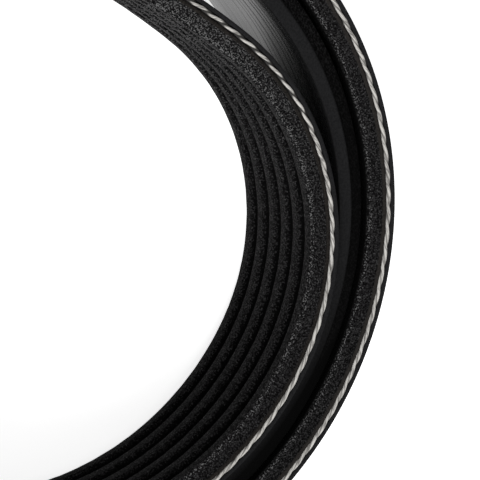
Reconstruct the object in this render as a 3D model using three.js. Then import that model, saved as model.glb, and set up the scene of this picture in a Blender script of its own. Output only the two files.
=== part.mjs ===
// A ribbed serpentine belt for the accessory drive of a car engine, coiled for storage.
// Units are millimetres and +Z is up. The belt lies on one cut edge, with the axis of the
// coil upright and the origin on the floor under the middle of the coil's outline.
//
// The endless belt is laid in two turns. The inner loop has its ribs towards the middle. It
// runs out into the outer turn, which is folded back rib to rib at the front fold, returns
// between the outer turn and the loop, and folds back to back into the start of the loop. All
// three run flatter on the coil's left side, which makes the coil a little longer than wide.
import * as THREE from 'three';

// Rib profile across the belt
const RIB_COUNT = 6;
const RIB_PITCH = 3.56;
const RIB_HEIGHT = 2.2;
const RIB_FLANK_DEGREES = 20;
const VALLEY_FLOOR_WIDTH = 0.5;
const BACKING_THICKNESS = 1.9;

// Tension cord where the knife has bared it in the two cut edges
const CORD_DIAMETER = 0.8;
const CORD_FROM_BACK = 1.0;
const CORD_CLEARANCE = 0.15;
const UPPER_CORD_PROUD = 0.12;
const LOWER_CORD_RECESS = 0.1;
const CORD_SIDES = 6;
const GROOVE_SIDE_LEAN = 0.18;
const GROOVE_RUN_OUT = 6;
const CORD_STOPS_SHORT = 3;

// Plan of the coil, all radii to the belt's smooth back
const OUTER_TURN_RADIUS = 53.2;
const OUTER_SIDE_RADIUS = 130;
const SIDE_DIRECTION = 165;
const RIB_TO_RIB_GAP = 0.76;
const BACK_TO_BACK_GAP = 0.3;
const CROWN_TIGHTER_BY = 6.14;
const CROWN_DIRECTION = 86.75;
const LOOP_SIDE_RADIUS = 110;
const LOOP_SIDE_DIRECTION = 168.2;
const LOOP_FRONT_RADIUS = 28;
const LOOP_FRONT_DIRECTION = 190;
const BACK_FOLD_RADIUS = 7.5;
const BACK_FOLD_DIRECTION = -28;
const LOOP_ENTRY_RADIUS = 20;
const LEAD_OUT_RADIUS = 30;
const LEAD_OUT_AHEAD_OF_BACK_FOLD = 20;
const FRONT_FOLD_TIP_RADIUS = 8;
const FRONT_FOLD_DIRECTION = 215;
const FRONT_FOLD_FLARE_RADIUS = 25;
const FRONT_FOLD_NECK_RADIUS = 18;

// The inner loop stands a little proud of the other turns over part of its way
const LOOP_LIFT = 1.9;
const LIFT_RISE_LENGTH = 34;
const LIFT_LEVEL_LENGTH = 85;
const LIFT_FALL_LENGTH = 60;

// How far a flat facet may stray from the true curve, and the longest facet on a straight run
const CHORD_ERROR = 0.1;
const LONGEST_FACET = 9;

const BELT_WIDTH = RIB_COUNT * RIB_PITCH;
const BELT_THICKNESS = BACKING_THICKNESS + RIB_HEIGHT;
const CORD_RADIUS = CORD_DIAMETER / 2;

const radians = THREE.MathUtils.degToRad;
const polar = (radius, angle, centre = { x: 0, y: 0 }) => (
  { x: centre.x + radius * Math.cos(angle), y: centre.y + radius * Math.sin(angle) });
const directionOf = (from, to) => Math.atan2(to.y - from.y, to.x - from.x);
const distance = (from, to) => Math.hypot(to.x - from.x, to.y - from.y);
const smooth = (share) => THREE.MathUtils.smoothstep(share, 0, 1);

// Angle at the corner between two sides of a triangle, from its three sides
function cornerAngle(sideA, sideB, opposite) {
  return Math.acos((sideA ** 2 + sideB ** 2 - opposite ** 2) / (2 * sideA * sideB));
}

// An arc followed from one angle to the other, to the left (turn 1) or to the right (turn -1)
function arc(centre, radius, from, to, turn) {
  const full = 2 * Math.PI;
  const sweep = ((((to - from) * turn) % full) + full) % full;
  const widest = radius + (turn < 0 ? BELT_THICKNESS : 0);
  const steps = Math.ceil(sweep / (2 * Math.acos(1 - CHORD_ERROR / widest)));
  const at = (share) => {
    const angle = from + turn * sweep * share;
    return { ...polar(radius, angle, centre), heading: angle + turn * Math.PI / 2 };
  };
  return { length: radius * sweep, steps, at };
}

function straight(start, end) {
  const heading = directionOf(start, end);
  const length = distance(start, end);
  const steps = Math.ceil(length / LONGEST_FACET);
  const at = (share) => (
    { x: start.x + (end.x - start.x) * share, y: start.y + (end.y - start.y) * share, heading });
  return { length, steps, at };
}

// Centre of an arc that goes on from another one in a direction, with the same tangent there
function centreAfter(centre, radius, nextRadius, direction) {
  return polar(radius - nextRadius, direction, centre);
}

// The belt's closed way round the coil as arcs that meet tangent to each other. The ribs are
// always on the left of the way.
function coilPath() {
  const middle = { x: 0, y: 0 };
  const returnRadius = OUTER_TURN_RADIUS - 2 * BELT_THICKNESS - RIB_TO_RIB_GAP;
  const loopContactRadius = returnRadius - BACK_TO_BACK_GAP;

  // The outer and the return turn run flatter on one side of the coil, side by side
  const sideDirection = radians(SIDE_DIRECTION);
  const sideCentre = centreAfter(middle, OUTER_TURN_RADIUS, OUTER_SIDE_RADIUS, sideDirection);
  const returnSideRadius = OUTER_SIDE_RADIUS - OUTER_TURN_RADIUS + returnRadius;

  // The inner loop touches the return turn, then leaves it for an oval of its own
  const crownRadius = loopContactRadius - CROWN_TIGHTER_BY;
  const crownDirection = radians(CROWN_DIRECTION);
  const crownCentre = centreAfter(middle, loopContactRadius, crownRadius, crownDirection);
  const loopSideDirection = radians(LOOP_SIDE_DIRECTION);
  const loopSideCentre = centreAfter(crownCentre, crownRadius, LOOP_SIDE_RADIUS,
    loopSideDirection);
  const frontDirection = radians(LOOP_FRONT_DIRECTION);
  const frontCentre = centreAfter(loopSideCentre, LOOP_SIDE_RADIUS, LOOP_FRONT_RADIUS,
    frontDirection);

  // Back fold, from the return turn into the start of the loop
  const backFoldDirection = radians(BACK_FOLD_DIRECTION);
  const backFoldReach = returnRadius - BACK_FOLD_RADIUS;
  const backFoldCentre = polar(backFoldReach, backFoldDirection);
  const entryReach = loopContactRadius - LOOP_ENTRY_RADIUS;
  const entryDirection = backFoldDirection
    + cornerAngle(backFoldReach, entryReach, BACK_FOLD_RADIUS + LOOP_ENTRY_RADIUS);
  const entryCentre = polar(entryReach, entryDirection);

  // Lead out from the loop to the outer turn: a straight run and one arc
  const leadOutDirection = backFoldDirection - radians(LEAD_OUT_AHEAD_OF_BACK_FOLD);
  const leadOutCentre = polar(OUTER_TURN_RADIUS - LEAD_OUT_RADIUS, leadOutDirection);
  const centresApart = distance(frontCentre, leadOutCentre);
  const straightHeading = directionOf(frontCentre, leadOutCentre)
    - Math.asin((LEAD_OUT_RADIUS - LOOP_FRONT_RADIUS) / centresApart);
  const loopEndAngle = straightHeading - Math.PI / 2;
  const straightStart = polar(LOOP_FRONT_RADIUS, loopEndAngle, frontCentre);
  const straightEnd = polar(LEAD_OUT_RADIUS, loopEndAngle, leadOutCentre);

  // Front fold, a bulb that rests against the back of the loop
  const bulbRadius = FRONT_FOLD_TIP_RADIUS + BELT_THICKNESS;
  const bulbCentre = polar(LOOP_FRONT_RADIUS + BACK_TO_BACK_GAP + bulbRadius,
    radians(FRONT_FOLD_DIRECTION), frontCentre);
  const bulbReach = distance(sideCentre, bulbCentre);
  const bulbDirection = directionOf(sideCentre, bulbCentre);
  const flareReach = OUTER_SIDE_RADIUS + FRONT_FOLD_FLARE_RADIUS;
  const flareDirection = bulbDirection
    - cornerAngle(bulbReach, flareReach, bulbRadius + FRONT_FOLD_FLARE_RADIUS);
  const flareCentre = polar(flareReach, flareDirection, sideCentre);
  const neckReach = returnSideRadius - FRONT_FOLD_NECK_RADIUS;
  const neckDirection = bulbDirection
    - cornerAngle(bulbReach, neckReach, bulbRadius + FRONT_FOLD_NECK_RADIUS);
  const neckCentre = polar(neckReach, neckDirection, sideCentre);

  const left = 1;
  const right = -1;
  return {
    loopEntry: arc(entryCentre, LOOP_ENTRY_RADIUS,
      directionOf(entryCentre, backFoldCentre), entryDirection, left),
    loopContact: arc(middle, loopContactRadius, entryDirection, crownDirection, left),
    crown: arc(crownCentre, crownRadius, crownDirection, loopSideDirection, left),
    loopSide: arc(loopSideCentre, LOOP_SIDE_RADIUS, loopSideDirection, frontDirection, left),
    loopFront: arc(frontCentre, LOOP_FRONT_RADIUS, frontDirection, loopEndAngle, left),
    leadOut: straight(straightStart, straightEnd),
    leadOutBend: arc(leadOutCentre, LEAD_OUT_RADIUS, loopEndAngle, leadOutDirection, left),
    outerTurn: arc(middle, OUTER_TURN_RADIUS, leadOutDirection, sideDirection, left),
    outerSide: arc(sideCentre, OUTER_SIDE_RADIUS, sideDirection, flareDirection, left),
    flare: arc(flareCentre, FRONT_FOLD_FLARE_RADIUS,
      flareDirection + Math.PI, directionOf(flareCentre, bulbCentre), right),
    bulb: arc(bulbCentre, bulbRadius,
      directionOf(bulbCentre, flareCentre), directionOf(bulbCentre, neckCentre), left),
    neck: arc(neckCentre, FRONT_FOLD_NECK_RADIUS,
      directionOf(neckCentre, bulbCentre), neckDirection, right),
    returnSide: arc(sideCentre, returnSideRadius, neckDirection, sideDirection, right),
    returnTurn: arc(middle, returnRadius, sideDirection, backFoldDirection, right),
    backFold: arc(backFoldCentre, BACK_FOLD_RADIUS,
      backFoldDirection, directionOf(backFoldCentre, entryCentre), right),
  };
}

// Height of the belt's lower edge above the floor, by the way run from the start of the loop
function liftAt(run) {
  const fallStart = LIFT_RISE_LENGTH + LIFT_LEVEL_LENGTH;
  return LOOP_LIFT * smooth(run / LIFT_RISE_LENGTH)
    * (1 - smooth((run - fallStart) / LIFT_FALL_LENGTH));
}

// Stations along the closed way, each with its place, heading, lift and run so far
function stationsOf(path) {
  const stations = [];
  let run = 0;
  for (const piece of Object.values(path)) {
    for (let step = 0; step < piece.steps; step += 1) {
      const share = step / piece.steps;
      const stationRun = run + piece.length * share;
      stations.push({ ...piece.at(share), run: stationRun, lift: liftAt(stationRun) });
    }
    run += piece.length;
  }
  return stations;
}

// Section of the belt: depth is measured from the back towards the ribs and height from the
// lower cut edge. The grooves for the bared cord close to nothing where groove is 0.
function beltSection(groove) {
  const flankRun = RIB_HEIGHT * Math.tan(radians(RIB_FLANK_DEGREES));
  const halfFloor = VALLEY_FLOOR_WIDTH / 2;
  const halfGroove = CORD_RADIUS + CORD_CLEARANCE + GROOVE_SIDE_LEAN;
  const halfGrooveFloor = halfGroove - GROOVE_SIDE_LEAN;
  const upperDepth = (CORD_DIAMETER + CORD_CLEARANCE - UPPER_CORD_PROUD) * groove;
  const lowerDepth = (CORD_DIAMETER + CORD_CLEARANCE + LOWER_CORD_RECESS) * groove;

  const points = [
    [0, 0],
    [0, BELT_WIDTH],
    [CORD_FROM_BACK - halfGroove, BELT_WIDTH],
    [CORD_FROM_BACK - halfGrooveFloor, BELT_WIDTH - upperDepth],
    [CORD_FROM_BACK + halfGrooveFloor, BELT_WIDTH - upperDepth],
    [CORD_FROM_BACK + halfGroove, BELT_WIDTH],
    [BACKING_THICKNESS, BELT_WIDTH],
  ];
  for (let rib = RIB_COUNT; rib > 0; rib -= 1) {
    const top = rib * RIB_PITCH - halfFloor;
    const bottom = (rib - 1) * RIB_PITCH + halfFloor;
    points.push(
      [BACKING_THICKNESS, top],
      [BELT_THICKNESS, top - flankRun],
      [BELT_THICKNESS, bottom + flankRun],
      [BACKING_THICKNESS, bottom],
    );
  }
  points.push(
    [BACKING_THICKNESS, 0],
    [CORD_FROM_BACK + halfGroove, 0],
    [CORD_FROM_BACK + halfGrooveFloor, lowerDepth],
    [CORD_FROM_BACK - halfGrooveFloor, lowerDepth],
    [CORD_FROM_BACK - halfGroove, 0],
  );
  return points;
}

function cordSection(height) {
  const points = [];
  for (let side = 0; side < CORD_SIDES; side += 1) {
    const angle = Math.PI - (side + 0.5) * 2 * Math.PI / CORD_SIDES;
    points.push([CORD_FROM_BACK + CORD_RADIUS * Math.cos(angle),
      height + CORD_RADIUS * Math.sin(angle)]);
  }
  return points;
}

// Skin of a section carried along stations. A closed skin joins its end to its start, and an
// open one gets a flat cap at each end.
function sweptGeometry(stations, sectionAt, closed) {
  const positions = [];
  for (const station of stations) {
    const across = { x: -Math.sin(station.heading), y: Math.cos(station.heading) };
    for (const [depth, height] of sectionAt(station)) {
      positions.push(station.x + across.x * depth, station.y + across.y * depth,
        height + station.lift);
    }
  }
  const size = positions.length / 3 / stations.length;
  const triangles = [];
  const bays = closed ? stations.length : stations.length - 1;
  for (let bay = 0; bay < bays; bay += 1) {
    const here = bay * size;
    const next = ((bay + 1) % stations.length) * size;
    for (let corner = 0; corner < size; corner += 1) {
      const after = (corner + 1) % size;
      triangles.push(here + corner, next + corner, here + after);
      triangles.push(here + after, next + corner, next + after);
    }
  }
  if (!closed) {
    const last = (stations.length - 1) * size;
    for (let corner = 1; corner < size - 1; corner += 1) {
      triangles.push(0, corner, corner + 1);
      triangles.push(last, last + corner + 1, last + corner);
    }
  }
  const geometry = new THREE.BufferGeometry();
  geometry.setAttribute('position', new THREE.Float32BufferAttribute(positions, 3));
  geometry.setIndex(triangles);
  geometry.computeVertexNormals();
  return geometry;
}

const path = coilPath();
const stations = stationsOf(path);
const lengthTo = (last) => {
  const names = Object.keys(path);
  return names.slice(0, names.indexOf(last) + 1).reduce((sum, name) => sum + path[name].length, 0);
};
const grooveEnd = lengthTo('outerSide');

// 1 where the cord lies bare, from the start of the loop to the end of the outer turn
function grooveAt(run) {
  return smooth(run / GROOVE_RUN_OUT) * (1 - smooth((run - grooveEnd) / GROOVE_RUN_OUT + 1));
}

const bareStations = stations.filter(({ run }) => run > GROOVE_RUN_OUT + CORD_STOPS_SHORT
  && run < grooveEnd - GROOVE_RUN_OUT - CORD_STOPS_SHORT);

function beltBody() {
  return sweptGeometry(stations, (station) => beltSection(grooveAt(station.run)), true);
}

function edgeCord(height) {
  return sweptGeometry(bareStations, () => cordSection(height), false);
}

const rubber = new THREE.MeshStandardMaterial({ color: 0x1d1d1f, roughness: 0.82, metalness: 0 });
const upperCordYarn = new THREE.MeshStandardMaterial(
  { color: 0xd9d5cd, roughness: 0.9, metalness: 0 });
const lowerCordYarn = upperCordYarn.clone();

const belt = new THREE.Group();
const pieces = [
  ['belt_body', beltBody(), rubber],
  ['edge_cord_upper', edgeCord(BELT_WIDTH + UPPER_CORD_PROUD - CORD_RADIUS), upperCordYarn],
  ['edge_cord_lower', edgeCord(LOWER_CORD_RECESS + CORD_RADIUS), lowerCordYarn],
];
for (const [name, geometry, material] of pieces) {
  const mesh = new THREE.Mesh(geometry, material);
  mesh.name = name;
  belt.add(mesh);
}

// Bring the middle of the outline over the origin
const outline = new THREE.Box3().setFromObject(belt);
belt.position.set(
  -(outline.min.x + outline.max.x) / 2, -(outline.min.y + outline.max.y) / 2, 0);

export default belt;
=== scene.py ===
"""The looks of a ribbed serpentine belt that lies coiled on one cut edge.

The belt's own lengths are in millimetres, times MM in the scene. The room's are in metres.
"""
import math

import bpy
from mathutils import Matrix, Vector


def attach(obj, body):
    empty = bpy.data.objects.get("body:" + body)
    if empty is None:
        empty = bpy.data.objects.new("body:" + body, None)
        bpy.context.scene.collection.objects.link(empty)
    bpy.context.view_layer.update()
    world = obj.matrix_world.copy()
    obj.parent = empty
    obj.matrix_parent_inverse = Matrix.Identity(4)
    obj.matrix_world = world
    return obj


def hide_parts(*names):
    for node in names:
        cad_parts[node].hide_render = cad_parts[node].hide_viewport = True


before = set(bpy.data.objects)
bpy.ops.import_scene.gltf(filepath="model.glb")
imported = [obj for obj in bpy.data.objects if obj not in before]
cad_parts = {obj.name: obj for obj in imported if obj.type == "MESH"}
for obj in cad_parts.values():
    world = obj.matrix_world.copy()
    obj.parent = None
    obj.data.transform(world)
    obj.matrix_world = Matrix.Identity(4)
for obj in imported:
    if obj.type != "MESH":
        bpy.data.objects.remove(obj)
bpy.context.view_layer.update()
scene = bpy.context.scene
scene.view_settings.view_transform = "Standard"

# Camera: it looks steeply down on the far side of the coil from about a forearm's length. It is
# held turned on its side, so that the belt stands across the picture.
MM = 0.001
CAMERA_DISTANCE = 350 * MM
CAMERA_ELEVATION = math.radians(60.06)
CAMERA_TURN = math.radians(114.0)
CAMERA_LENS = 184.0
NEAREST_SEEN = 10 * MM
AIMED_AT = Vector((-9.60, 35.50, 10.0)) * MM

looking = Vector((0, math.cos(CAMERA_ELEVATION), -math.sin(CAMERA_ELEVATION)))
level_right = Vector((1, 0, 0))
level_up = level_right.cross(looking)
picture_right = level_right * math.cos(CAMERA_TURN) + level_up * math.sin(CAMERA_TURN)
picture_up = level_up * math.cos(CAMERA_TURN) - level_right * math.sin(CAMERA_TURN)
camera = bpy.data.objects.new("camera", bpy.data.cameras.new("camera"))
camera.data.lens = CAMERA_LENS
camera.data.clip_start = NEAREST_SEEN
camera.matrix_world = Matrix.Translation(AIMED_AT - looking * CAMERA_DISTANCE) @ Matrix(
    (picture_right, picture_up, -looking)).transposed().to_4x4()
scene.collection.objects.link(camera)
scene.camera = camera

# Light: an even white room, with one wide lamp beside the coil that rakes across its ribs. The
# room's walls are full white to the camera where it looks past the floor.
ROOM_LIGHT = 0.45
LAMP_POWER = 6.0
LAMP_WIDTH = 0.5
LAMP_PLACE = Vector((0.65, -0.12, 0.6))


class Wire:
    """A number, colour or mesh on its way through the nodes of a tree."""

    def __init__(self, tree, socket=None):
        self.tree = tree
        self.socket = socket

    def node(self, kind, settings=None, values=None, out=0):
        """A node of that kind. settings are its own, values go to its sockets by name or place."""
        made = self.tree.nodes.new(kind)
        for key, value in (settings or {}).items():
            if key == "stops":
                ramp = made.color_ramp
                while len(ramp.elements) < len(value):
                    ramp.elements.new(0.5)
                for element, (place, colour) in zip(ramp.elements, value):
                    element.position = place
                    element.color = (*colour, 1.0)
            else:
                setattr(made, key, value)
        for key, value in (values or {}).items():
            if isinstance(value, Wire):
                value.feed(made.inputs[key])
            else:
                made.inputs[key].default_value = value
        return Wire(self.tree, made.outputs[out])

    def feed(self, socket):
        """Links this wire to a node's or a shader's socket."""
        self.tree.links.new(self.socket, socket)

    def maths(self, operation, *values):
        return self.node("ShaderNodeMath", {"operation": operation}, dict(enumerate(values)))

    def __add__(self, other):
        return self.maths("ADD", self, other)

    def __radd__(self, other):
        return self.maths("ADD", other, self)

    def __sub__(self, other):
        return self.maths("SUBTRACT", self, other)

    def __rsub__(self, other):
        return self.maths("SUBTRACT", other, self)

    def __mul__(self, other):
        return self.maths("MULTIPLY", self, other)

    def __rmul__(self, other):
        return self.maths("MULTIPLY", other, self)

    def __truediv__(self, other):
        return self.maths("DIVIDE", self, other)

    def __rtruediv__(self, other):
        return self.maths("DIVIDE", other, self)

    def sine(self):
        return self.maths("SINE", self)

    def at_least(self, other):
        """The higher of two numbers."""
        return self.maths("MAXIMUM", self, other)

    def step(self, low, high):
        """0 below low and 1 above high, with a soft rise between. The two may be swapped."""
        return self.node("ShaderNodeMapRange", {"interpolation_type": "SMOOTHSTEP"},
                         {"Value": self, "From Min": low, "From Max": high})

    def ramp(self, stops):
        return self.node("ShaderNodeValToRGB", {"stops": stops}, {0: self})

    def mix(self, first, second):
        """A colour between two, with this wire as the share of the second."""
        first, second = (colour if isinstance(colour, Wire) else (*colour, 1.0)
                         for colour in (first, second))
        return self.node("ShaderNodeMix", {"data_type": "RGBA"},
                         {0: self, 6: first, 7: second}, out=2)

    def attribute(self, name):
        return self.node("ShaderNodeAttribute", {"attribute_name": name}, out="Fac")

    def place(self, x, y, z=0.0):
        return self.node("ShaderNodeCombineXYZ", values={0: x, 1: y, 2: z})

    def noise(self, place, scale=1.0, detail=2.0, roughness=0.5):
        return self.node("ShaderNodeTexNoise", values={
            "Vector": place, "Scale": scale, "Detail": detail, "Roughness": roughness})


world = bpy.data.worlds.new("room")
world.use_nodes = True
walls = world.node_tree.nodes["Background"]
walls.inputs["Color"].default_value = (1, 1, 1, 1)
seen = Wire(world.node_tree).node("ShaderNodeLightPath", out="Is Camera Ray")
(seen * (1.0 - ROOM_LIGHT) + ROOM_LIGHT).feed(walls.inputs["Strength"])
scene.world = world
lamp = bpy.data.objects.new("wide_lamp", bpy.data.lights.new("wide_lamp", "AREA"))
lamp.data.energy = LAMP_POWER
lamp.data.size = LAMP_WIDTH
lamp.matrix_world = Matrix.Translation(LAMP_PLACE) @ LAMP_PLACE.to_track_quat(
    "Z", "Y").to_matrix().to_4x4()
scene.collection.objects.link(lamp)

# Floor: a sheet of plain white card that the coil lies on. It takes the belt's soft shadow. A
# glow that lights nothing makes it otherwise as white as the picture's background.
FLOOR_HALF_WIDTH = 3.0
CARD_WHITE = 0.9
CARD_GLOW = 0.78


def new_finish(name, fixed):
    """A material with those values on its shader's own sockets, the shader, and a first wire."""
    finish = bpy.data.materials.new(name)
    finish.use_nodes = True
    shader = finish.node_tree.nodes["Principled BSDF"]
    for key, value in fixed.items():
        shader.inputs[key].default_value = value
    return finish, shader, Wire(finish.node_tree)


card, shader, wire = new_finish("white_card", {
    "Base Color": (CARD_WHITE, CARD_WHITE, CARD_WHITE, 1), "Emission Color": (1, 1, 1, 1),
    "Roughness": 1.0, "Specular IOR Level": 0.0})
seen, mirrored = (wire.node("ShaderNodeLightPath", out=ray)
                  for ray in ("Is Camera Ray", "Is Glossy Ray"))
(seen.at_least(mirrored) * CARD_GLOW).feed(shader.inputs["Emission Strength"])
floor_mesh = bpy.data.meshes.new("floor")
floor_mesh.from_pydata([(x * FLOOR_HALF_WIDTH, y * FLOOR_HALF_WIDTH, 0)
                        for x, y in ((-1, -1), (1, -1), (1, 1), (-1, 1))], [], [(0, 1, 2, 3)])
floor_mesh.materials.append(card)
floor = bpy.data.objects.new("floor", floor_mesh)
scene.collection.objects.link(floor)

# Belt: one endless band of black rubber with six ribs, moulded as a sleeve, ground on its ribs
# and cut to width with a knife. It is folded back on itself and coiled, and lies on one cut
# edge, with nothing that holds it.
RIB_COUNT = 6
RIB_PITCH = 3.56
RIB_HEIGHT = 2.2
RIB_FLANK = math.tan(math.radians(20))
VALLEY_FLOOR = 0.5
BACKING = 1.9
WIDTH = RIB_COUNT * RIB_PITCH
THICKNESS = BACKING + RIB_HEIGHT
CORD_DEPTH = 1.0
CORD_RADIUS = 0.4

# The belt's way round the coil: the radii of its back, or of its rib tips in the front fold,
# and the directions in which one arc hands over to the next, so that they meet tangent.
OUTER_TURN = 53.2
OUTER_SIDE = 130.0
SIDE_DIRECTION = math.radians(165)
RIB_TO_RIB_GAP = 0.76
BACK_TO_BACK_GAP = 0.3
CROWN_TIGHTER_BY = 6.14
CROWN_DIRECTION = math.radians(86.75)
LOOP_SIDE = 110.0
LOOP_SIDE_DIRECTION = math.radians(168.2)
LOOP_FRONT = 28.0
LOOP_FRONT_DIRECTION = math.radians(190)
BACK_FOLD = 7.5
BACK_FOLD_DIRECTION = math.radians(-28)
LOOP_ENTRY = 20.0
LEAD_OUT = 30.0
LEAD_OUT_DIRECTION = BACK_FOLD_DIRECTION - math.radians(20)
FRONT_FOLD_TIP = 8.0
FRONT_FOLD_DIRECTION = math.radians(215)
FLARE = 25.0
NECK = 18.0
MIDDLE_OF_OUTLINE = (1.30847, 2.47301)
STATION_SPACING = 1.0
SEAM = 0.02


def polar(radius, angle, centre=(0.0, 0.0)):
    return centre[0] + radius * math.cos(angle), centre[1] + radius * math.sin(angle)


def direction(start, end):
    return math.atan2(end[1] - start[1], end[0] - start[0])


def corner(side_a, side_b, opposite):
    """Angle between two sides of a triangle, from its three sides."""
    return math.acos((side_a ** 2 + side_b ** 2 - opposite ** 2) / (2 * side_a * side_b))


def arc(centre, radius, start, end, turn):
    """Length, and the place and heading at a share of the way, to the left (1) or right (-1)."""
    sweep = ((end - start) * turn) % (2 * math.pi)

    def at(share):
        angle = start + turn * sweep * share
        return *polar(radius, angle, centre), angle + turn * math.pi / 2
    return radius * sweep, at


def straight(start, end):
    """Length, and the place and heading at a share of a straight way."""
    heading = direction(start, end)

    def at(share):
        return (start[0] + (end[0] - start[0]) * share,
                start[1] + (end[1] - start[1]) * share, heading)
    return math.dist(start, end), at


middle = (0.0, 0.0)
return_turn = OUTER_TURN - 2 * THICKNESS - RIB_TO_RIB_GAP
return_side = OUTER_SIDE - OUTER_TURN + return_turn
side_centre = polar(OUTER_TURN - OUTER_SIDE, SIDE_DIRECTION)
loop_contact = return_turn - BACK_TO_BACK_GAP
crown = loop_contact - CROWN_TIGHTER_BY
crown_centre = polar(CROWN_TIGHTER_BY, CROWN_DIRECTION)
loop_side_centre = polar(crown - LOOP_SIDE, LOOP_SIDE_DIRECTION, crown_centre)
front_centre = polar(LOOP_SIDE - LOOP_FRONT, LOOP_FRONT_DIRECTION, loop_side_centre)
back_fold_reach = return_turn - BACK_FOLD
back_fold_centre = polar(back_fold_reach, BACK_FOLD_DIRECTION)
entry_reach = loop_contact - LOOP_ENTRY
entry_direction = BACK_FOLD_DIRECTION + corner(back_fold_reach, entry_reach, BACK_FOLD + LOOP_ENTRY)
entry_centre = polar(entry_reach, entry_direction)
lead_out_centre = polar(OUTER_TURN - LEAD_OUT, LEAD_OUT_DIRECTION)
loop_end = (direction(front_centre, lead_out_centre)
            - math.asin((LEAD_OUT - LOOP_FRONT) / math.dist(front_centre, lead_out_centre))
            - math.pi / 2)
bulb = FRONT_FOLD_TIP + THICKNESS
bulb_centre = polar(LOOP_FRONT + BACK_TO_BACK_GAP + bulb, FRONT_FOLD_DIRECTION, front_centre)
bulb_reach = math.dist(side_centre, bulb_centre)
bulb_direction = direction(side_centre, bulb_centre)
flare_reach = OUTER_SIDE + FLARE
flare_direction = bulb_direction - corner(bulb_reach, flare_reach, bulb + FLARE)
flare_centre = polar(flare_reach, flare_direction, side_centre)
neck_reach = return_side - NECK
neck_direction = bulb_direction - corner(bulb_reach, neck_reach, bulb + NECK)
neck_centre = polar(neck_reach, neck_direction, side_centre)
bare_way = [
    arc(entry_centre, LOOP_ENTRY, direction(entry_centre, back_fold_centre), entry_direction, 1),
    arc(middle, loop_contact, entry_direction, CROWN_DIRECTION, 1),
    arc(crown_centre, crown, CROWN_DIRECTION, LOOP_SIDE_DIRECTION, 1),
    arc(loop_side_centre, LOOP_SIDE, LOOP_SIDE_DIRECTION, LOOP_FRONT_DIRECTION, 1),
    arc(front_centre, LOOP_FRONT, LOOP_FRONT_DIRECTION, loop_end, 1),
    straight(polar(LOOP_FRONT, loop_end, front_centre), polar(LEAD_OUT, loop_end, lead_out_centre)),
    arc(lead_out_centre, LEAD_OUT, loop_end, LEAD_OUT_DIRECTION, 1),
    arc(middle, OUTER_TURN, LEAD_OUT_DIRECTION, SIDE_DIRECTION, 1),
    arc(side_centre, OUTER_SIDE, SIDE_DIRECTION, flare_direction, 1),
]
way_back = [
    arc(flare_centre, FLARE, flare_direction + math.pi, direction(flare_centre, bulb_centre), -1),
    arc(bulb_centre, bulb, direction(bulb_centre, flare_centre),
        direction(bulb_centre, neck_centre), 1),
    arc(neck_centre, NECK, direction(neck_centre, bulb_centre), neck_direction, -1),
    arc(side_centre, return_side, neck_direction, SIDE_DIRECTION, -1),
    arc(middle, return_turn, SIDE_DIRECTION, BACK_FOLD_DIRECTION, -1),
    arc(back_fold_centre, BACK_FOLD, BACK_FOLD_DIRECTION,
        direction(back_fold_centre, entry_centre), -1),
]
bare_end = sum(length for length, at in bare_way)


def stations(spacing):
    """Place, heading and run of stations all the way round, the last a hair short of the first."""
    run = 0.0
    for length, at in bare_way + way_back:
        steps = math.ceil(length / spacing)
        for step in range(steps):
            yield *at(step / steps), run + length * step / steps
        run += length
    yield *at(1 - SEAM / length), run - SEAM


def edge_chain(name, points, values, closed=True):
    """A chain of edges with a number of each kind at every point."""
    count = len(points)
    edges = [(place, (place + 1) % count) for place in range(count if closed else count - 1)]
    mesh = bpy.data.meshes.new(name)
    mesh.from_pydata(points, edges, [])
    for key, numbers in values.items():
        mesh.attributes.new(key, "FLOAT", "POINT").data.foreach_set("value", numbers)
    made = bpy.data.objects.new(name, mesh)
    scene.collection.objects.link(made)
    return made


def way_chain(name, spacing, depth=0.0, ends_short=None):
    """The way at that depth in the belt: all round, or the bared stretch less its ends."""
    places, runs = [], []
    for x, y, heading, run in stations(spacing):
        if ends_short is None or ends_short < run < bare_end - ends_short:
            places.append(((x + MIDDLE_OF_OUTLINE[0] - math.sin(heading) * depth) * MM,
                           (y + MIDDLE_OF_OUTLINE[1] + math.cos(heading) * depth) * MM, 0.0))
            runs.append(run)
    return edge_chain(name, places, {"run": runs}, closed=ends_short is None)


# The belt's section, with its corners rounded. The back stays a hair inside the solid's.
BACK_INSET = 0.005
CORNER_ROUND, CORNER_STEPS = 0.06, 3
RIB_ROUND, RIB_STEPS = 0.18, 2
VALLEY_ROUND, VALLEY_STEPS = 0.1, 1
FLANK_STEPS = 2
BACK_STEPS = 6
SHOULDER_DROP = 0.05
SHOULDER_REACH = 0.06
GROOVE_HALF_WIDTH = 0.43
GROOVE_PLACES = (-1, -0.92, -0.7, -0.35, 0, 0.35, 0.7, 0.92, 1)
UPPER_GROOVE_DEPTH = 0.72
LOWER_GROOVE_DEPTH = 0.94
RAGGED_AT_RIB = 1.0
RAGGED_IN_VALLEY = 0.6
RAGGED_ON_SHOULDER = 0.4


def rounded(before, at, after, radius, steps):
    """Points of an arc that rounds one corner of an outline."""
    into = (Vector(before) - Vector(at)).normalized()
    out = (Vector(after) - Vector(at)).normalized()
    half = into.angle(out) / 2
    centre = Vector(at) + (into + out).normalized() * (radius / math.sin(half))
    reach = radius / math.tan(half)
    first, last = Vector(at) + into * reach - centre, Vector(at) + out * reach - centre
    start, sweep = math.atan2(first.y, first.x), -first.angle_signed(last)
    for step in range(steps + 1):
        yield polar(radius, start + sweep * step / steps, centre)


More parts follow.
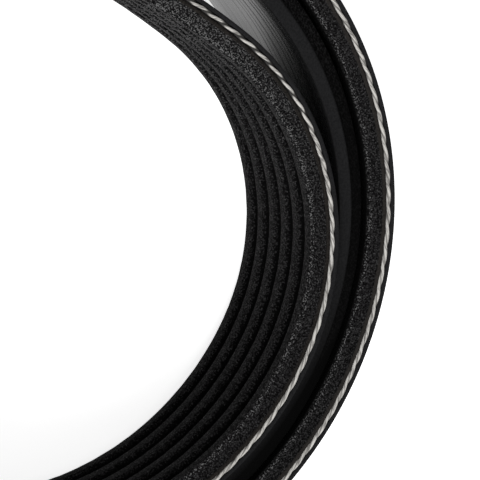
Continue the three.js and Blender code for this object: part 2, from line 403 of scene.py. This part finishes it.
def belt_section():
    """Outline as (depth from the back, height, groove share, rib share), round the section."""
    outline = []

    def along(start, end, steps, ragged=0.0):
        for step in range(1, steps):
            share = step / steps
            outline.append((start[0] + (end[0] - start[0]) * share,
                            start[1] + (end[1] - start[1]) * share, 0.0, ragged))

    def turned(before, at, after, radius, steps, ragged=0.0):
        outline.extend((*point, 0.0, ragged) for point in rounded(before, at, after, radius, steps))

    def cord_groove(height, deep, places):
        for place in places:
            outline.append((CORD_DEPTH + GROOVE_HALF_WIDTH * place, height,
                            deep * math.sqrt(1 - place ** 2), 0.0))

    back_foot, back_top = (BACK_INSET, 0.0), (BACK_INSET, WIDTH)
    edge_foot, edge_top = (BACKING, 0.0), (BACKING, WIDTH)
    beside_groove = (CORD_DEPTH + GROOVE_HALF_WIDTH + BACKING) / 2
    lean = RIB_HEIGHT * RIB_FLANK
    turned(back_foot, back_top, edge_top, CORNER_ROUND, CORNER_STEPS)
    cord_groove(WIDTH, -UPPER_GROOVE_DEPTH, GROOVE_PLACES)
    outline.append((beside_groove, WIDTH, 0.0, 0.0))
    for rib in range(RIB_COUNT, 0, -1):
        top, foot = rib * RIB_PITCH - VALLEY_FLOOR / 2, (rib - 1) * RIB_PITCH + VALLEY_FLOOR / 2
        root_top, tip_top = (BACKING, top), (THICKNESS, top - lean)
        tip_foot, root_foot = (THICKNESS, foot + lean), (BACKING, foot)
        if rib == RIB_COUNT:
            outline.append((BACKING, WIDTH - SHOULDER_DROP, 0.0, RAGGED_ON_SHOULDER))
            outline.append((BACKING + SHOULDER_REACH, top, 0.0, RAGGED_AT_RIB))
        else:
            turned(edge_top, root_top, tip_top, VALLEY_ROUND, VALLEY_STEPS, RAGGED_IN_VALLEY)
        along(root_top, tip_top, FLANK_STEPS, RAGGED_AT_RIB)
        turned(root_top, tip_top, tip_foot, RIB_ROUND, RIB_STEPS, RAGGED_AT_RIB)
        along(tip_top, tip_foot, FLANK_STEPS, RAGGED_AT_RIB)
        turned(tip_top, tip_foot, root_foot, RIB_ROUND, RIB_STEPS, RAGGED_AT_RIB)
        along(tip_foot, root_foot, FLANK_STEPS, RAGGED_AT_RIB)
        if rib == 1:
            outline.append((BACKING + SHOULDER_REACH, foot, 0.0, RAGGED_AT_RIB))
            outline.append((BACKING, SHOULDER_DROP, 0.0, RAGGED_ON_SHOULDER))
        else:
            turned(tip_foot, root_foot, edge_foot, VALLEY_ROUND, VALLEY_STEPS, RAGGED_IN_VALLEY)
    outline.append((beside_groove, 0.0, 0.0, 0.0))
    cord_groove(0.0, LOWER_GROOVE_DEPTH, GROOVE_PLACES[::-1])
    turned(edge_foot, back_foot, back_top, CORNER_ROUND, CORNER_STEPS)
    along((BACK_INSET, CORNER_ROUND), (BACK_INSET, WIDTH - CORNER_ROUND), BACK_STEPS)
    return outline


# The tree that draws the section along the way, lifts the inner loop off the floor, sinks the
# cord grooves where the cord is bare and roughens the ground ribs.
LOOP_LIFT = 1.9
LIFT_RISE = 34.0
LIFT_LEVEL = 85.0
LIFT_FALL = 60.0
LIFT_INPUTS = {"Lift": LOOP_LIFT * MM, "Lift Rise": LIFT_RISE, "Lift Level": LIFT_LEVEL,
               "Lift Fall": LIFT_FALL}
GROOVE_FADE = 6.0
RAGGED_BY = 0.05 * MM
GRAIN_SCALE = 0.9
GRAIN_DETAIL = 3.0


def sweep_tree(name, numbers):
    """Starts a tree: its first wire, a wire of each named input, its way and section as curves."""
    tree = bpy.data.node_groups.new(name, "GeometryNodeTree")
    kinds = {"Geometry": "Geometry", "Section": "Object", **dict.fromkeys(numbers, "Float"),
             "Finish": "Material"}
    for key, kind in kinds.items():
        tree.interface.new_socket(key, in_out="INPUT", socket_type="NodeSocket" + kind)
    tree.interface.new_socket("Geometry", in_out="OUTPUT", socket_type="NodeSocketGeometry")
    sockets = tree.nodes.new("NodeGroupInput").outputs
    given = {key: Wire(tree, sockets[key]) for key in kinds}
    start = Wire(tree)
    way = start.node("GeometryNodeMeshToCurve", values={"Mesh": given["Geometry"]})
    way = start.node("GeometryNodeSetCurveNormal", {"mode": "Z_UP"}, {"Curve": way})
    section = start.node("GeometryNodeObjectInfo", values={
        "Object": given["Section"]}, out="Geometry")
    section = start.node("GeometryNodeMeshToCurve", values={"Mesh": section})
    return start, given, way, section


def stored(start, key):
    return start.node("GeometryNodeInputNamedAttribute", {"data_type": "FLOAT"}, {"Name": key})


def lifted(given, run):
    """How far the loop stands up at that run, from the tree's own inputs."""
    rise, fall_start = given["Lift Rise"], given["Lift Rise"] + given["Lift Level"]
    falling = run.step(fall_start, fall_start + given["Lift Fall"])
    return run.step(0.0, rise) * (1.0 - falling) * given["Lift"]


def close_tree(start, skin, shift, finish):
    """Moves the skin, and ends the tree with Realize Instances and Set Material."""
    moved = start.node("GeometryNodeSetPosition", values={"Geometry": skin, "Offset": shift})
    whole = start.node("GeometryNodeRealizeInstances", values={"Geometry": moved})
    dressed = start.node("GeometryNodeSetMaterial", values={"Geometry": whole, "Material": finish})
    dressed.feed(start.tree.nodes.new("NodeGroupOutput").inputs[0])


def grown(carrier, tree, name, values):
    """Runs a tree on a carrier with its inputs set, and returns the plain mesh that it makes."""
    modifier = carrier.modifiers.new("grow", "NODES")
    modifier.node_group = tree
    for item in tree.interface.items_tree:
        if item.in_out == "INPUT" and item.name in values:
            modifier[item.identifier] = values[item.name]
    bpy.context.view_layer.update()
    ready = carrier.evaluated_get(bpy.context.evaluated_depsgraph_get())
    mesh = bpy.data.meshes.new_from_object(ready)
    mesh.name = name
    mesh.shade_smooth()
    carrier.modifiers.remove(modifier)
    made = bpy.data.objects.new(name, mesh)
    scene.collection.objects.link(made)
    return made


start, given, way, section = sweep_tree(
    "belt_along_its_way", (*LIFT_INPUTS, "Bare End", "Groove Fade", "Ragged By"))
skin = start.node("GeometryNodeCurveToMesh", values={"Curve": way, "Profile Curve": section})
run = stored(start, "run")
bare = run.step(0.0, given["Groove Fade"]) * (1.0 - run.step(
    given["Bare End"] - given["Groove Fade"], given["Bare End"]))
raised = lifted(given, run) + stored(start, "groove") * MM * bare
grain = start.noise(start.place(run, stored(start, "height"), stored(start, "depth")),
                    GRAIN_SCALE, GRAIN_DETAIL)
ragged = (grain - 0.5) * stored(start, "rib") * given["Ragged By"] * 2.0
roughened = start.node("ShaderNodeVectorMath", {"operation": "SCALE"}, {
    0: start.node("GeometryNodeInputNormal"), "Scale": ragged})
shift = start.node("ShaderNodeVectorMath", {"operation": "ADD"}, {
    0: roughened, 1: start.place(0.0, 0.0, raised)})
close_tree(start, skin, shift, given["Finish"])
belt_tree = start.tree

# The rubber's looks: ribs ground matt with short fibres in them, a plain brown cushion round the
# cord, and a smooth back that the mould left finely lined. Light and shade are painted into the
# colour as well: painted shade between the ribs, on the return turn and on the outer turn's rib
# tips, and painted fibre glints and less painted shade where the lamp rakes the inner loop. A pair
# is where a change starts and ends, first along the belt from the start of the inner loop, then in
# height and in depth.
LOOP_RAKED_FROM = (100.0, 150.0)
LOOP_RAKED_UNTIL = (250.0, 200.0)
OUTER_TURN_FROM = (300.0, 330.0)
RETURN_TURN_FROM = (595.0, 615.0)
RETURN_TURN_DULL_FROM = (630.0, 646.0)
RETURN_TURN_SHADED_FROM = (630.0, 655.0)
RETURN_TURN_SHADOW_FROM = (660.0, 692.0)
RETURN_TURN_UNTIL = (785.0, 760.0)
UPPER_FLANK_FROM = (WIDTH - 1.1, WIDTH - 0.95)
BELOW_UPPER_EDGE = (WIDTH - 0.12, WIDTH - 0.3)
BACK_LINED_FROM = (2.0, 18.0)
BACK_SKIN = (0.03, 0.01)
CUSHION_FROM = (1.25, 1.45)
CUSHION_UNTIL = (2.7, 2.1)
GROUND_FROM = (2.0, 2.95)
GROUND_WANDERS = 0.7
GROUND_DROPS = 1.2
CREST_FROM = (3.1, 3.6)
CREST_WANDERS = 0.8
CREST_LESS_RAKED = 0.6
TIP_FROM = (3.45, 3.95)
TIP_WIDER_RAKED = 0.2
TIP_RAGGED = 1.3
TIP_RAGGED_RAKED = 1.6
GAP_SHADE_FROM = (3.6, 3.85)
GAP_SHADE_SHARE = 0.7

GRIT_SCALE = 3.8
PATCH_SCALE = 1.1
FIBRE_SCALE = 6.0
FIBRE_STRETCH = 0.7
FLECKS_FROM = (0.66, 0.74)
FLECKS_MORE_ON_CREST = 0.05
FLECKS_MORE_ON_OUTER = 0.01
FLECKS_MORE_RAKED = 0.09
FLECKS_MORE_IN_PATCHES = 0.03
FLECK_SHARE = 0.12
FLECK_SHARE_CREST = 0.35
FLECK_SHARE_RAKED = 0.2
FLECK_GREY = (0.28, 0.28, 0.28)
PLAIN_BLACKS = ((0.34, (0.0112, 0.0112, 0.0118)), (0.66, (0.0185, 0.0185, 0.0195)))
GROUND_BLACKS = ((0.34, (0.0006, 0.0006, 0.0006)), (0.5, (0.0066, 0.0063, 0.0066)),
                 (0.68, (0.027, 0.0262, 0.027)))
CUSHION_BROWNS = ((0.36, (0.0105, 0.0095, 0.0088)), (0.64, (0.0235, 0.0205, 0.0182)))
PALE_BROWN = (0.05, 0.046, 0.043)
PALE_ON_OUTER_TURN = 0.22
SHADE_BLACK = (0.0006, 0.0006, 0.0006)
SHADE_BETWEEN_RIBS = 0.95
SHADE_LESS_RAKED = 0.3
SHADE_ON_RETURN_TURN = 0.35
SHADE_FURTHER_ON = 0.45
SHADOW_AT_BACK = 0.3
SHADOW_BY_DEPTH = 0.35
LINE_BLACK = (0.002, 0.002, 0.002)
LINE_SHARE = 0.8
LINE_PITCH = 1.4
LINE_WANDERS = 1.6
LINE_STRENGTH = 0.4
WANDER_ALONG, WANDER_UP = 0.015, 0.4
STREAK_ALONG, STREAK_UP = 0.03, 4.0
STREAK_STRENGTH = 1.6
SMOOTH_FROM = (0.3, 0.75)
SHEEN_LEAST = 0.12
SHEEN_DULLED = 0.5
RELIEF_DEPTH = 0.12 * MM
RELIEF_OF_BACK = 0.25

rubber, shader, wire = new_finish("belt_rubber", {
    "Roughness": 0.8, "Specular IOR Level": 0.05, "Coat Roughness": 0.2, "Coat IOR": 1.7})
run, depth, height = (wire.attribute(key) for key in ("run", "depth", "height"))
on_belt = wire.place(run, height, depth)
grit = wire.noise(on_belt, GRIT_SCALE, detail=1.0, roughness=0.6)
patches = wire.noise(on_belt, PATCH_SCALE)
fibres = wire.noise(wire.place(run * FIBRE_STRETCH, height, depth), FIBRE_SCALE, detail=0.0)

# Painted light: where the lamp rakes the inner loop, more painted fibre glints, fewer on the
# crests, raggeder rib tips and less painted shade.
raked = run.step(*LOOP_RAKED_FROM) * run.step(*LOOP_RAKED_UNTIL)
before_fold = run.step(*RETURN_TURN_UNTIL)
inward = 1.0 - before_fold * run.step(*RETURN_TURN_FROM)
outer = run.step(*OUTER_TURN_FROM) * inward
upper_flank = height.step(*UPPER_FLANK_FROM)
below_edge = height.step(*BELOW_UPPER_EDGE)
back = depth.step(*BACK_SKIN) * below_edge
cushion = depth.step(*CUSHION_FROM) * depth.step(*CUSHION_UNTIL) * upper_flank * inward
ground_side = (depth + patches * GROUND_WANDERS + below_edge * GROUND_DROPS).step(*GROUND_FROM)
crest = upper_flank * (depth + (patches - 0.5) * CREST_WANDERS).step(*CREST_FROM) * inward * (
    1.0 - raked * CREST_LESS_RAKED)
# Painted shade: the outer turn's rib tips that face the return turn's ribs across the narrow gap.
gap_shade = outer * depth.step(*GAP_SHADE_FROM)
tip = (depth + (grit - 0.5) * (TIP_RAGGED + raked * TIP_RAGGED_RAKED)).step(
    TIP_FROM[0], TIP_FROM[1] - raked * TIP_WIDER_RAKED)
# The share of the surface that lies open to the light rather than in painted shade.
open_to_light = (upper_flank + (1.0 - upper_flank) * tip * (1.0 - outer)) * (
    1.0 - gap_shade * GAP_SHADE_SHARE)

brown = (outer * PALE_ON_OUTER_TURN).mix(grit.ramp(CUSHION_BROWNS), PALE_BROWN)
colour = cushion.mix(grit.ramp(PLAIN_BLACKS), brown)
colour = ground_side.mix(colour, grit.ramp(GROUND_BLACKS))
# Painted shade: darker between the ribs, less where the lamp rakes, and on the return turn's rib
# side, which faces away from the lamp.
rib_shade = (1.0 - open_to_light) * (SHADE_BETWEEN_RIBS - raked * SHADE_LESS_RAKED)
turn_shade = open_to_light * (1.0 - inward) * (
    SHADE_ON_RETURN_TURN + SHADE_FURTHER_ON * run.step(*RETURN_TURN_SHADED_FROM))
# Painted shadow on the return turn along the last of the coil, between the inner loop and the outer
# turn, deepest towards its ribs.
painted_turn_shadow = before_fold * run.step(*RETURN_TURN_SHADOW_FROM) * (SHADOW_AT_BACK + depth * SHADOW_BY_DEPTH)
colour = ((rib_shade + turn_shade) * ground_side).at_least(painted_turn_shadow).mix(colour, SHADE_BLACK)
# Short fibre flecks, in part the rubber's own and in part painted glints: more where the lamp rakes
# and on the crests, and only where the surface lies open to light.
flecks = (fibres + crest * FLECKS_MORE_ON_CREST + outer * FLECKS_MORE_ON_OUTER
          + raked * FLECKS_MORE_RAKED + patches * FLECKS_MORE_IN_PATCHES).step(*FLECKS_FROM)
fleck_share = (crest * FLECK_SHARE_CREST + raked * FLECK_SHARE_RAKED + FLECK_SHARE) * inward
colour = (flecks * ground_side * open_to_light * fleck_share).mix(colour, FLECK_GREY)

wander = wire.noise(wire.place(run * WANDER_ALONG, height * WANDER_UP), detail=1.0)
streaks = wire.noise(wire.place(run * STREAK_ALONG, height * STREAK_UP), roughness=0.7)
lines = ((height / LINE_PITCH + wander * LINE_WANDERS) * (2 * math.pi)).sine()
smooth_share = (lines * height.step(*BACK_LINED_FROM) * LINE_STRENGTH
                + streaks * STREAK_STRENGTH).step(*SMOOTH_FROM)
colour = (back * (1.0 - smooth_share) * LINE_SHARE).mix(colour, LINE_BLACK)
colour.feed(shader.inputs["Base Color"])
sheen = back * (SHEEN_LEAST + smooth_share * (1.0 - SHEEN_LEAST)) * (
    1.0 - before_fold * run.step(*RETURN_TURN_DULL_FROM) * SHEEN_DULLED)
sheen.feed(shader.inputs["Coat Weight"])
relief = wire.node("ShaderNodeBump", values={
    "Height": grit * ground_side + smooth_share * back * RELIEF_OF_BACK,
    "Distance": RELIEF_DEPTH, "Strength": 0.8})
relief.feed(shader.inputs["Normal"])

# The belt itself. Its section is gone round the other way, so that the faces point outwards.
belt_way = way_chain("belt_way", STATION_SPACING)
depths, heights, groove_shares, rib_shares = zip(*belt_section()[::-1])
section_chain = edge_chain(
    "belt_section", [(-depth * MM, -height * MM, 0.0) for depth, height in zip(depths, heights)],
    {"depth": depths, "height": heights, "groove": groove_shares, "rib": rib_shares})
belt = grown(belt_way, belt_tree, "belt", {
    **LIFT_INPUTS, "Bare End": bare_end, "Groove Fade": GROOVE_FADE, "Ragged By": RAGGED_BY,
    "Section": section_chain, "Finish": rubber})
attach(belt, "root")
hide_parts("belt_body")

# Edge cords: the belt's tension cord, white polyester yarn twisted of two plies and wound
# through the rubber under its back. The knife has bared one length of it along each cut edge,
# where it stays bedded in its groove.
PLIES = 2
TWIST_LENGTH = 6.0
PLY_HOLLOW = 0.5
PLY_FULLNESS = 1.2
POINTS_AROUND = 24
CORD_SPACING = 0.35
CORD_ENDS_SHORT = 9.0
UPPER_CORD_PROUD = 0.12
LOWER_CORD_RECESS = 0.1

THREAD_ALONG, THREAD_AROUND = 0.6, 1.5
SOIL_SCALE = 0.7
CORD_RAKED_FROM = (106.0, 126.0)
YARN_WHITES = ((0.36, (0.20, 0.19, 0.18)), (0.54, (0.66, 0.64, 0.605)))
HOLLOW_SHADE_FROM = (0.45, 0.9)
HOLLOW_SHADE_GREY = (0.16, 0.152, 0.14)
HOLLOW_SHADE_SHARE = 0.7
BURIED_FROM = (0.05, -0.2)
BURIED_MORE_RAKED = 0.76
BURIED_MORE_OUTER = 0.25
BURIED_BLACK = (0.012, 0.0115, 0.011)
BURIED_SHARE = 0.93
SOIL_FROM = (0.55, 0.8)
SOIL_BROWN = (0.2, 0.185, 0.165)
SOIL_SHARE = 0.5
THREAD_RELIEF = 0.04 * MM

start, given, way, section = sweep_tree(
    "cord_along_its_edge", (*LIFT_INPUTS, "Twist Length", "Height"))
run = stored(start, "run")
way = start.node("GeometryNodeSetCurveTilt", values={
    "Curve": way, "Tilt": run / given["Twist Length"] * (-2 * math.pi)})
skin = start.node("GeometryNodeCurveToMesh", values={
    "Curve": way, "Profile Curve": section, "Fill Caps": True})
raised = lifted(given, run) + given["Height"]
close_tree(start, skin, start.place(0.0, 0.0, raised), given["Finish"])
cord_tree = start.tree

yarn, shader, wire = new_finish("twisted_yarn", {"Roughness": 0.75, "Specular IOR Level": 0.3})
run, around, hollow = (wire.attribute(key) for key in ("run", "around", "hollow"))
threads = wire.noise(wire.place(run * THREAD_ALONG, around * THREAD_AROUND), roughness=0.6)
soil = wire.noise(wire.place(run, around), SOIL_SCALE)
raked = run.step(*CORD_RAKED_FROM) * run.step(*LOOP_RAKED_UNTIL)
outer = run.step(*OUTER_TURN_FROM)
rise = (run * (2 * math.pi / TWIST_LENGTH) - around).sine() * (1.0 - hollow * PLY_HOLLOW)
buried = (rise - raked * BURIED_MORE_RAKED - outer * BURIED_MORE_OUTER).step(*BURIED_FROM)
# Painted shade in the hollows between the two plies.
colour = (hollow.step(*HOLLOW_SHADE_FROM) * HOLLOW_SHADE_SHARE).mix(threads.ramp(YARN_WHITES), HOLLOW_SHADE_GREY)
colour = (buried * BURIED_SHARE).mix(colour, BURIED_BLACK)
colour = (soil.step(*SOIL_FROM) * SOIL_SHARE).mix(colour, SOIL_BROWN)
colour.feed(shader.inputs["Base Color"])
relief = wire.node("ShaderNodeBump", values={
    "Height": threads, "Distance": THREAD_RELIEF, "Strength": 0.6})
relief.feed(shader.inputs["Normal"])

angles = [2 * math.pi * step / POINTS_AROUND for step in range(POINTS_AROUND)]
hollows = [1 - abs(math.sin(PLIES * angle / 2)) ** PLY_FULLNESS for angle in angles]
cord_section = edge_chain(
    "cord_section",
    [(*polar(CORD_RADIUS * MM * (1 - PLY_HOLLOW * hollow), angle), 0.0)
     for angle, hollow in zip(angles, hollows)],
    {"around": angles, "hollow": hollows})
cord_way = way_chain("cord_way", CORD_SPACING, CORD_DEPTH, CORD_ENDS_SHORT)
for name, height in (("edge_cord_upper", WIDTH + UPPER_CORD_PROUD - CORD_RADIUS),
                     ("edge_cord_lower", LOWER_CORD_RECESS + CORD_RADIUS)):
    cord = grown(cord_way, cord_tree, "twisted_" + name, {
        **LIFT_INPUTS, "Twist Length": TWIST_LENGTH, "Height": height * MM,
        "Section": cord_section, "Finish": yarn})
    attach(cord, "root")
    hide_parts(name)

for carrier in (belt_way, section_chain, cord_way, cord_section):
    bpy.data.objects.remove(carrier)
